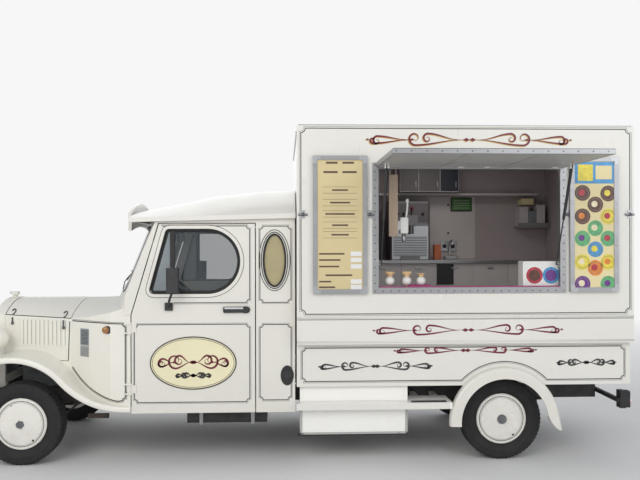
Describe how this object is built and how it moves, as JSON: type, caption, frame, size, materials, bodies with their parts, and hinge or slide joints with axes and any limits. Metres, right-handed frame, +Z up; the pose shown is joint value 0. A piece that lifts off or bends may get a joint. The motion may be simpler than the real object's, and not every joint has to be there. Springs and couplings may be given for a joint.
{
  "type": "ice cream truck",
  "caption": "Vintage-style ice cream truck: rounded cab and bonnet, boxy servery with a side serving hatch.",
  "frame": {"origin": "on the road, under the middle of the whole truck with its serving hatch open", "axes": "+X towards the rear of the truck, +Y towards its right-hand side, +Z up"},
  "size_m": [5.3298, 3.015, 2.5819],
  "materials": {
    "body_paint": "gloss",
    "servery_panel": "gloss",
    "chassis_black": "satin",
    "engine_grey": "cast",
    "tyre_rubber": "matt",
    "wheel_paint": "gloss",
    "bright_metal": "polished",
    "window_glass": "clear",
    "aluminium_trim": "satin",
    "black_plastic": "matt",
    "seat_cover": "matt",
    "menu_cream": "satin",
    "cabinet_white": "satin",
    "machine_steel": "brushed",
    "lamp_red": "gloss",
    "lamp_glass": "clear"
  },
  "bodies": {
    "truck": {"chassis_frame": "chassis_black", "front_axle": "chassis_black", "rear_axle": "chassis_black", "engine_block": "engine_grey", "exhaust": "chassis_black", "fuel_tank": "chassis_black", "front_wings": "body_paint", "bonnet_sides": "body_paint", "radiator_shell": "bright_metal", "radiator_grille": "bright_metal", "front_bumper": "bright_metal", "headlamps": "bright_metal", "headlamp_lenses": "lamp_glass", "windscreen": "window_glass", "scuttle": "body_paint", "cab_shell": "body_paint", "quarter_windows": "window_glass", "cab_floor": "black_plastic", "cab_roof": "body_paint", "roof_headboard": "body_paint", "dashboard": "black_plastic", "seat_frames": "chassis_black", "seat_cushions": "seat_cover", "box_floor": "cabinet_white", "box_left_wall": "servery_panel", "box_right_wall": "servery_panel", "box_end_walls": "servery_panel", "box_roof": "servery_panel", "body_skirts": "servery_panel", "rear_wings": "body_paint", "running_boards": "servery_panel", "serving_frame": "aluminium_trim", "menu_boards": "menu_cream", "servery_cabinets": "cabinet_white", "ice_cream_machine": "machine_steel", "rear_lamps": "lamp_red"},
    "knuckle_left": {"knuckle_left": "chassis_black"},
    "knuckle_right": {"knuckle_right": "chassis_black"},
    "tie_rod": {"tie_rod": "chassis_black"},
    "steering_wheel": {"steering_wheel": "black_plastic"},
    "stay_tubes": {"stay_tubes": "chassis_black"},
    "stay_rods": {"stay_rods": "bright_metal"},
    "rear_door": {"rear_door": "servery_panel"},
    "road_wheel_front_left": {"wheel_front_left": "wheel_paint", "tyre_front_left": "tyre_rubber"},
    "road_wheel_front_right": {"wheel_front_right": "wheel_paint", "tyre_front_right": "tyre_rubber"},
    "road_wheel_rear_left": {"wheel_rear_left": "wheel_paint", "tyre_rear_left": "tyre_rubber"},
    "road_wheel_rear_right": {"wheel_rear_right": "wheel_paint", "tyre_rear_right": "tyre_rubber"},
    "door_left": {"door_left": "body_paint", "door_glass_left": "window_glass", "mirror_left": "bright_metal"},
    "bonnet_left": {"bonnet_left": "body_paint"},
    "door_right": {"door_right": "body_paint", "door_glass_right": "window_glass", "mirror_right": "bright_metal"},
    "bonnet_right": {"bonnet_right": "body_paint"},
    "hatch": {"serving_hatch": "servery_panel"}
  },
  "joints": [
    {"name": "steer_left", "type": "hinge", "parent": "truck", "child": "knuckle_left", "pos_m": [-2.035, -0.2005, 0.315], "axis": [0, 0, 1], "range_deg": [-32, 32]},
    {"name": "front_left_spin", "type": "hinge", "parent": "knuckle_left", "child": "road_wheel_front_left", "pos_m": [-2.035, -0.3075, 0.315], "axis": [0, 1, 0], "continuous": true},
    {"name": "rear_left_spin", "type": "hinge", "parent": "truck", "child": "road_wheel_rear_left", "pos_m": [1.665, -0.3075, 0.315], "axis": [0, 1, 0], "continuous": true},
    {"name": "steer_right", "type": "hinge", "parent": "truck", "child": "knuckle_right", "pos_m": [-2.035, 1.0795, 0.315], "axis": [0, 0, 1], "range_deg": [-32, 32]},
    {"name": "front_right_spin", "type": "hinge", "parent": "knuckle_right", "child": "road_wheel_front_right", "pos_m": [-2.035, 1.1865, 0.315], "axis": [0, 1, 0], "continuous": true},
    {"name": "rear_right_spin", "type": "hinge", "parent": "truck", "child": "road_wheel_rear_right", "pos_m": [1.665, 1.1865, 0.315], "axis": [0, 1, 0], "continuous": true},
    {"name": "tie_rod_pivot", "type": "hinge", "parent": "knuckle_left", "child": "tie_rod", "pos_m": [-1.885, -0.2005, 0.245], "axis": [0, 0, 1], "range_deg": [-33, 33]},
    {"name": "steering", "type": "hinge", "parent": "truck", "child": "steering_wheel", "pos_m": [-0.965, 0.8595, 1.208], "axis": [0.6635, 0, 0.7482], "range_deg": [-513, 513]},
    {"name": "door_left_hinge", "type": "hinge", "parent": "truck", "child": "door_left", "pos_m": [-1.185, -0.4818, 0.8], "axis": [0, 0, -1], "range_deg": [0, 65]},
    {"name": "door_right_hinge", "type": "hinge", "parent": "truck", "child": "door_right", "pos_m": [-1.185, 1.3608, 0.8], "axis": [0, 0, 1], "range_deg": [0, 65]},
    {"name": "bonnet_left_hinge", "type": "hinge", "parent": "truck", "child": "bonnet_left", "pos_m": [-2.005, 0.4395, 1.222], "axis": [-1, 0, 0], "range_deg": [0, 75]},
    {"name": "bonnet_right_hinge", "type": "hinge", "parent": "truck", "child": "bonnet_right", "pos_m": [-2.005, 0.4395, 1.222], "axis": [1, 0, 0], "range_deg": [0, 75]},
    {"name": "hatch_hinge", "type": "hinge", "parent": "truck", "child": "hatch", "pos_m": [1.377, -0.5755, 2.264], "axis": [1, 0, 0], "range_deg": [0, 90]},
    {"name": "stay_pivot", "type": "hinge", "parent": "hatch", "child": "stay_tubes", "pos_m": [1.377, -0.8755, 2.239], "axis": [1, 0, 0], "range_deg": [-114.8, 0.5]},
    {"name": "stay_slide", "type": "slide", "parent": "stay_tubes", "child": "stay_rods", "axis": [0, -0.422, 0.9066], "range_m": [-0.0005, 0.34851]},
    {"name": "rear_door_hinge", "type": "hinge", "parent": "truck", "child": "rear_door", "pos_m": [2.6503, 0.8235, 1.6], "axis": [0, 0, 1], "range_deg": [0, 100]}
  ],
  "couplings": [
    {"joint": "steer_right", "follows": "steer_left", "ratio": 1},
    {"joint": "tie_rod_pivot", "follows": "steer_left", "ratio": -1},
    {"joint": "steering", "follows": "steer_left", "ratio": 16},
    {"joint": "stay_pivot", "follows": "hatch_hinge", "ratio": -1.27},
    {"joint": "stay_slide", "follows": "hatch_hinge", "m_per_rad": 0.22155}
  ]
}
